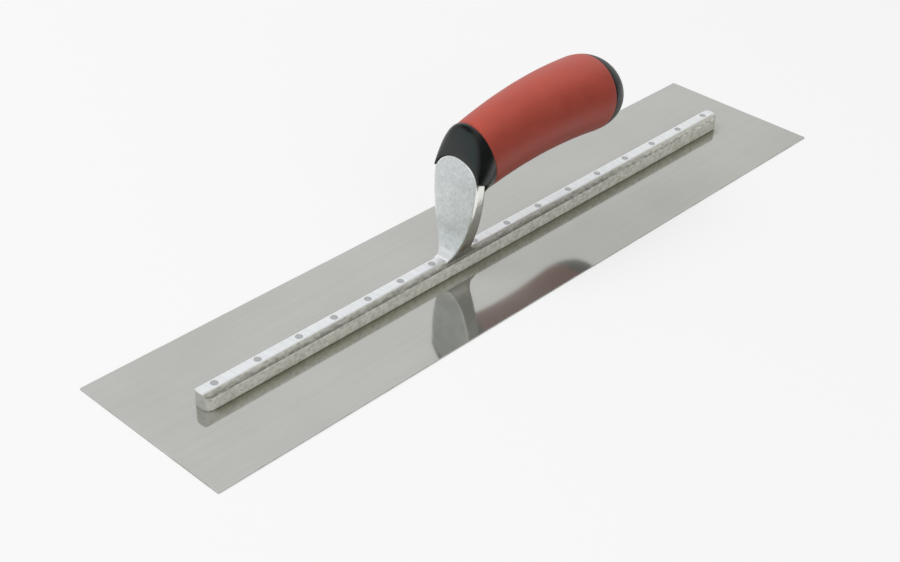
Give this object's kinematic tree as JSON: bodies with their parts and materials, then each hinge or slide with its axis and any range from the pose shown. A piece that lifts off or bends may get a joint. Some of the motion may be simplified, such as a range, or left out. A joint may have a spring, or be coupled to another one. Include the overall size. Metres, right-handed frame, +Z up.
{
  "type": "finishing trowel",
  "caption": "Flat rectangular steel blade riveted under a long cast mounting bar, whose flared shank carries a curved soft-grip handle, for smoothing concrete and plaster.",
  "frame": {"origin": "centre of the blade's underside", "axes": "+X along the blade from toe to heel, +Y across the blade, +Z up from the blade to the handle"},
  "size_m": [0.4572, 0.1016, 0.0912],
  "materials": {
    "blade_steel": "satin, brushed lengthwise",
    "cast_aluminium": "cast and tumbled, ground on top of the bar",
    "rivet_steel": "peened and ground flush",
    "black_plastic": "satin moulded plastic",
    "red_grip": "soft matte elastomer",
    "cap_plastic": "satin moulded plastic",
    "zinc_steel": "zinc plated"
  },
  "bodies": {
    "root": {"blade": "blade_steel", "mounting": "cast_aluminium", "rivets": "rivet_steel", "handle_core": "black_plastic", "grip_sleeve": "red_grip", "end_cap": "cap_plastic", "handle_bolt": "zinc_steel", "washer": "zinc_steel"}
  },
  "joints": []
}
